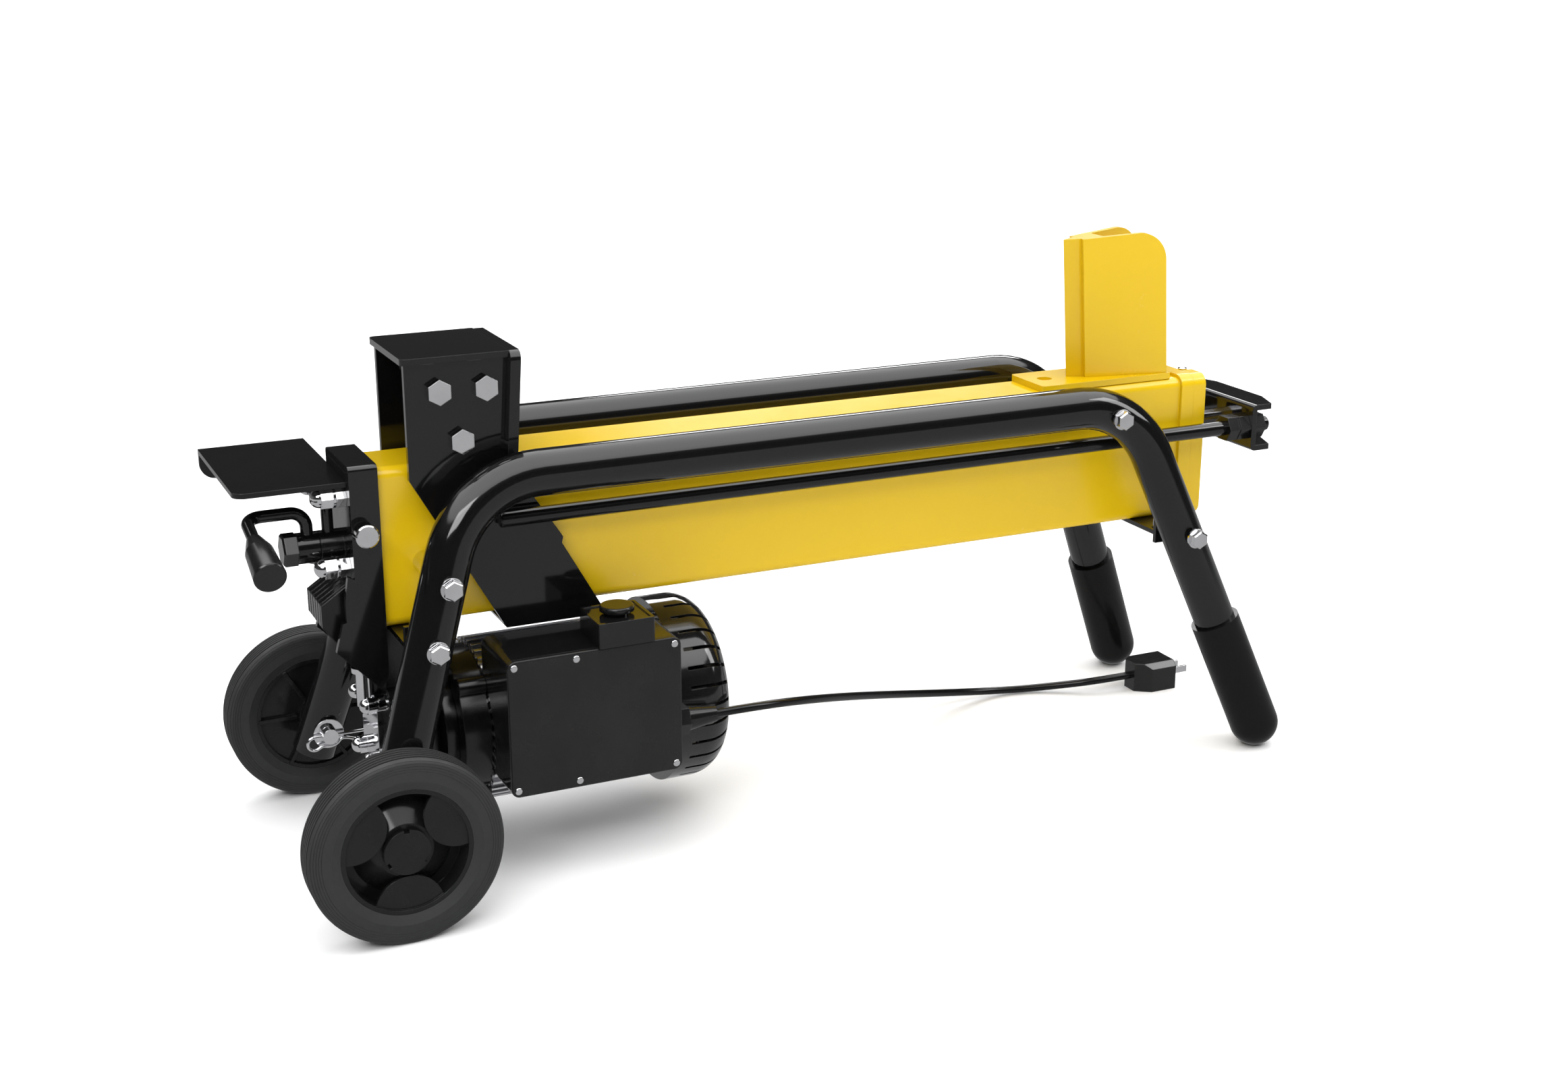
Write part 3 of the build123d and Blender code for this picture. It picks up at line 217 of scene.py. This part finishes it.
def cast(name, color, rough):
    """Sand casting under paint."""
    s = Shader(name)
    s.round_edges(CAST_EDGE)
    blotches = s.spread(s.noise(60.0, 5.0), 0.0, 1.0)
    s.link(s.mix(blotches, scaled(color, 0.7), scaled(color, 1.25)), s.bsdf.inputs["Base Color"])
    s.vary("Roughness", s.noise(150.0, 4.0), rough * 0.8, rough * 1.2)
    s.bump(s.noise(750.0, 5.0, 0.7), 0.6, CAST_GRAIN)
    s.bump(s.noise(120.0, 2.0, 0.5), 0.3, CAST_GRAIN * 2)
    return s.material


def metal(name, color, rough, scratches=(1.0, 1.0, 1.0)):
    """Bare or plated metal with fine streaks, long where `scratches` scales the noise down."""
    s = Shader(name)
    s.round_edges(METAL_EDGE)
    grain = s.noise(600.0, 4.0, 0.7, scratches)
    blotches = s.spread(s.noise(45.0, 4.0, 0.6), 0.0, 1.0)
    s.link(s.mix(blotches, scaled(color, 0.9), color), s.bsdf.inputs["Base Color"])
    s.put("Metallic", 1.0)
    s.vary("Roughness", grain, rough * 0.64, rough * 1.6)
    s.bump(grain, 0.12, METAL_GRAIN)
    return s.material


def plastic(name, color, rough, gloss=0.5):
    """Injection moulding: spark-eroded texture and slight flow marks in the gloss."""
    s = Shader(name)
    s.round_edges(MOULDED_EDGE)
    flow = s.spread(s.noise(22.0, 4.0), 0.0, 1.0)
    s.link(s.mix(flow, scaled(color, 0.8), scaled(color, 1.15)), s.bsdf.inputs["Base Color"])
    s.vary("Roughness", s.noise(70.0, 5.0, 0.6), rough * 0.85, rough * 1.2)
    s.put("Specular IOR Level", gloss)
    s.bump(s.noise(1800.0, 3.0, 0.6), 0.5, MOULDED_GRAIN)
    return s.material


def rubber(name, color, rough, gloss=0.2):
    """Moulded rubber: fine grain and a little bloom."""
    s = Shader(name)
    bloom = s.spread(s.noise(26.0, 6.0, 0.7), 0.0, 0.05, 0.42, 0.75)
    s.link(s.mix(bloom, color, tuple(c * 1.7 + 0.004 for c in color)), s.bsdf.inputs["Base Color"])
    s.vary("Roughness", s.noise(90.0, 5.0, 0.6), rough * 0.88, rough * 1.1)
    s.put("Specular IOR Level", gloss)
    s.bump(s.noise(1300.0, 4.0, 0.65), 0.55, RUBBER_GRAIN)
    return s.material


def tyre(name, color, rough):
    """Tyre rubber with fine moulded rings on the shoulders of its side walls, their grooves darkened with
    painted shade.
    """
    s = Shader(name)
    bloom = s.spread(s.noise(26.0, 6.0, 0.7), 0.0, 0.3, 0.42, 0.75)
    rubber_tone = s.mix(bloom, color, scaled(color, 1.5))
    s.vary("Roughness", s.noise(90.0, 5.0, 0.6), rough * 0.88, rough * 1.1)
    across = s.math("SUBTRACT", s.axis("X"), AXLE_X)
    up = s.math("SUBTRACT", s.axis("Z"), AXLE_Z)
    squares = s.math("ADD", s.math("MULTIPLY", across, across), s.math("MULTIPLY", up, up))
    radius = s.math("SQRT", squares)
    shoulder = s.spread(radius, 0.0, 1.0, SHOULDER_R, SHOULDER_R + RING_FADE)
    below_tread = s.spread(radius, 1.0, 0.0, TREAD_R - 2 * TREAD_LIP, TREAD_R - TREAD_LIP)
    groove = s.math("MULTIPLY", s.rings(radius, RING_PITCH), s.math("MULTIPLY", shoulder, below_tread))
    # Painted shade: the ring grooves are darkened in colour, besides their bump.
    s.link(s.mix(s.math("MULTIPLY", groove, 0.75), rubber_tone, GROOVE_PAINTED_SHADE), s.bsdf.inputs["Base Color"])
    s.bump(s.math("SUBTRACT", 1.0, groove), 0.8, RING_DEPTH)
    s.bump(s.noise(1300.0, 4.0, 0.65), 0.4, TYRE_GRAIN)
    return s.material


black_paint = paint("black_enamel", BLACK_PAINT, 0.08, 0.3, wear_and_highlight=WORN_AND_HIGHLIGHT_BLACK)
black_satin = paint("black_satin_enamel", BLACK_PAINT, 0.16, 0.0, wear_and_highlight=WORN_AND_HIGHLIGHT_BLACK)
yellow_paint = paint("yellow_enamel", YELLOW_PAINT, 0.24, 0.25, uneven=0.97)
chrome = metal("chrome_plate", CHROME, 0.06)
rod_chrome = metal("ram_chrome", CHROME, 0.08, (0.05, 1.0, 1.0))
steel = metal("turned_steel", STEEL, 0.24, (0.05, 1.0, 1.0))
aluminium = metal("finned_aluminium", POLISHED_ALUMINIUM, 0.14, (0.04, 1.0, 1.0))
laminated = metal("laminated_steel", LAMINATION, 0.4, (6.0, 0.1, 0.1))
cast_black = cast("painted_casting", CAST_BLACK, 0.14)
box_plastic = plastic("black_abs", BLACK_PLASTIC, 0.09)
lid_plastic = plastic("lid_abs", LID_PLASTIC, 0.12, gloss=0.38)
rim_plastic = plastic("rim_polypropylene", RIM_PLASTIC, 0.14, gloss=0.3)
grip_plastic = plastic("grip_plastic", BLACK_PLASTIC, 0.18)
cowl_paint = paint("cowl_enamel", COWL_BLACK, 0.1, 0.6, edge=0.0005)
nylon = plastic("nylon", NYLON, 0.5)
tyre_rubber = {side: tyre(f"tyre_rubber_{side}", TYRE_RUBBER, 0.6) for side in ("right", "left")}
boot_rubber = rubber("boot_rubber", BOOT_RUBBER, 0.2)
cord_rubber = rubber("cord_rubber", BOOT_RUBBER, 0.22, gloss=0.35)

looks = {
    yellow_paint: ("beam", "end_cap", "wedge_base_plate", "wedge_blade", "wedge_wing_right",
                   "wedge_wing_left"),
    black_paint: ("rail_right", "rail_left", "pump_end_bracket", "wedge_end_bracket", "crossbar", "pull_rods",
                  "pusher_saddle", "push_plate", "pusher_top_plate", "valve_bracket", "control_lever",
                  "return_pipe", "valve_spool", "rear_plate"),
    black_satin: ("hand_guard", "crossbar_nuts"),
    chrome: ("bleed_screw", "rail_bolts", "axle_pins", "axle_clips", "pusher_bolts", "bracket_pins",
             "tie_studs", "pump_cover", "cover_screws", "plug_prongs"),
    rod_chrome: ("ram_rod",),
    steel: ("cylinder_barrel", "cylinder_head", "rotor"),
    aluminium: ("motor_body",),
    laminated: ("stator",),
    cast_black: ("valve_housing", "pump_housing", "motor_end_bell"),
    box_plastic: ("terminal_box", "switch_housing", "start_button", "plug_body", "cable_gland"),
    lid_plastic: ("terminal_cover",),
    grip_plastic: ("lever_grip",),
    rim_plastic: ("rim_right", "rim_left", "hub_cap_right", "hub_cap_left"),
    cowl_paint: ("fan_cover",),
    nylon: ("guide_pads", "cooling_fan"),
    tyre_rubber["right"]: ("tyre_right",),
    tyre_rubber["left"]: ("tyre_left",),
    boot_rubber: ("foot_boot_right", "foot_boot_left"),
    cord_rubber: ("power_cord",),
}
for material, names in looks.items():
    for name in names:
        mesh = nodes[name].data
        mesh.materials.clear()
        mesh.materials.append(material)

# ---------------------------------------------------------------- power cord
CORD_D = 0.007
BEAM_X0 = -0.354
PLUG_Y, PLUG_Z = 0.047, 0.014
FLOOR_LINE = CORD_D / 2
GLAND = (0.248, -0.088, 0.1085)
cord_route = (
    GLAND, (0.289, -0.088, 0.1085), (0.347, -0.058, 0.093), (0.411, -0.010, 0.068),
    (0.476, 0.034, 0.043), (0.538, 0.067, 0.022), (0.593, 0.085, 0.008), (0.638, 0.083, FLOOR_LINE),
    (0.674, 0.068, 0.007), (0.706, PLUG_Y, PLUG_Z), (0.742, PLUG_Y, PLUG_Z),
)
curve = bpy.data.curves.new("mains_lead", "CURVE")
curve.dimensions = "3D"
curve.bevel_depth = CORD_D / 2
curve.bevel_resolution = 6
curve.resolution_u = 14
curve.use_fill_caps = True
spline = curve.splines.new("NURBS")
spline.points.add(len(cord_route) - 1)
for point, (x, y, z) in zip(spline.points, cord_route):
    point.co = (BEAM_X0 + x, y, z, 1.0)
spline.order_u = 3
spline.use_endpoint_u = True
lead = bpy.data.objects.new("mains_lead", curve)
bpy.context.scene.collection.objects.link(lead)
curve.materials.append(cord_rubber)
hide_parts("power_cord")
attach(lead, "frame")

# ---------------------------------------------------------------- floor, light and camera
scene = bpy.context.scene
scene.view_settings.view_transform = "Standard"
scene.view_settings.look = "None"


def floor_material():
    s = Shader("studio_floor")
    tone = s.spread(s.noise(1.5, 2.0), 0.0, 1.0)
    s.link(s.mix(tone, (0.92, 0.92, 0.92), (0.94, 0.94, 0.94)), s.bsdf.inputs["Base Color"])
    s.put("Roughness", 0.9)
    s.put("Specular IOR Level", 0.1)
    return s.material


FLOOR_HALF = 30.0
floor_mesh = bpy.data.meshes.new("floor")
floor_mesh.from_pydata([(-FLOOR_HALF, -FLOOR_HALF, 0), (FLOOR_HALF, -FLOOR_HALF, 0),
                        (FLOOR_HALF, FLOOR_HALF, 0), (-FLOOR_HALF, FLOOR_HALF, 0)], [], [(0, 1, 2, 3)])
floor = bpy.data.objects.new("floor", floor_mesh)
floor.data.materials.append(floor_material())
floor.visible_glossy = False
scene.collection.objects.link(floor)

# A white wall all round, far off: it closes the view above the floor and lights nothing.
WALL_R = 22.0
WALL_TOP = 24.0
WALL_SIDES = 64
corners = []
for step in range(WALL_SIDES):
    turn = 2 * math.pi * step / WALL_SIDES
    corners += [(WALL_R * math.cos(turn), WALL_R * math.sin(turn), z) for z in (0, WALL_TOP)]
panels = [(i, (i + 2) % len(corners), (i + 3) % len(corners), i + 1) for i in range(0, len(corners), 2)]
wall_mesh = bpy.data.meshes.new("wall")
wall_mesh.from_pydata(corners, [], panels)
wall_paint = Shader("studio_wall")
wall_paint.put("Base Color", (0.0, 0.0, 0.0))
wall_paint.put("Emission Color", (1.0, 1.0, 1.0))
wall_paint.put("Emission Strength", 1.0)
wall_mesh.materials.append(wall_paint.material)
wall = bpy.data.objects.new("wall", wall_mesh)
wall.visible_glossy = False
wall.visible_diffuse = False
wall.visible_shadow = False
scene.collection.objects.link(wall)

# What the machine reflects: a bright ceiling, dark walls and a pale ground.
world = bpy.data.worlds.new("studio")
world.use_nodes = True
tree = world.node_tree
direction = tree.nodes.new("ShaderNodeTexCoord")
height = tree.nodes.new("ShaderNodeSeparateXYZ")
ramp = tree.nodes.new("ShaderNodeValToRGB")
tree.links.new(direction.outputs["Generated"], height.inputs[0])
lift = tree.nodes.new("ShaderNodeMapRange")
lift.inputs["From Min"].default_value = -1.0
tree.links.new(height.outputs["Z"], lift.inputs["Value"])
tree.links.new(lift.outputs["Result"], ramp.inputs["Fac"])
# Grey by height, where 0 is straight down, 0.5 the horizon and 1 straight up.
CEILING = 2.6
SKY = ((0.49, 0.17), (0.505, 0.02), (0.7, 0.012), (0.79, 0.06), (0.815, 0.85), (0.9, 1.0))
stops = ramp.color_ramp.elements
stops.remove(stops[1])
stops[0].position = SKY[0][0]
for place, _ in SKY[1:]:
    stops.new(place)
for stop, (_, grey) in zip(stops, SKY):
    stop.color = (grey, grey, grey, 1.0)
background = tree.nodes["Background"]
tree.links.new(ramp.outputs["Color"], background.inputs["Color"])
background.inputs["Strength"].default_value = CEILING
scene.world = world

LIGHT_AIM = Vector((0.0, 0.0, 0.2))


def softbox(name, place, size, power):
    light = bpy.data.lights.new(name, "AREA")
    light.shape = "RECTANGLE"
    light.size, light.size_y = size
    light.energy = power
    lamp = bpy.data.objects.new(name, light)
    lamp.location = place
    lamp.rotation_euler = (LIGHT_AIM - Vector(place)).to_track_quat("-Z", "Y").to_euler()
    scene.collection.objects.link(lamp)


softbox("key", (-1.9, -2.4, 2.2), (1.6, 1.0), 34.0)
softbox("side", (2.6, -1.2, 1.9), (0.9, 1.6), 22.0)
softbox("rim", (1.6, 2.4, 1.6), (1.6, 0.5), 16.0)

CAMERA_AT = (-0.7036, -1.4918, 0.7258)
CAMERA_YAW = 25.13
CAMERA_PITCH = 17.15
FOCAL_MM = 47.02
SENSOR_MM = 36.0
lens = bpy.data.cameras.new("camera")
lens.sensor_width = SENSOR_MM
lens.lens = FOCAL_MM
camera = bpy.data.objects.new("camera", lens)
camera.location = CAMERA_AT
camera.rotation_euler = (math.radians(90 - CAMERA_PITCH), 0, math.radians(-CAMERA_YAW))
scene.collection.objects.link(camera)
scene.camera = camera
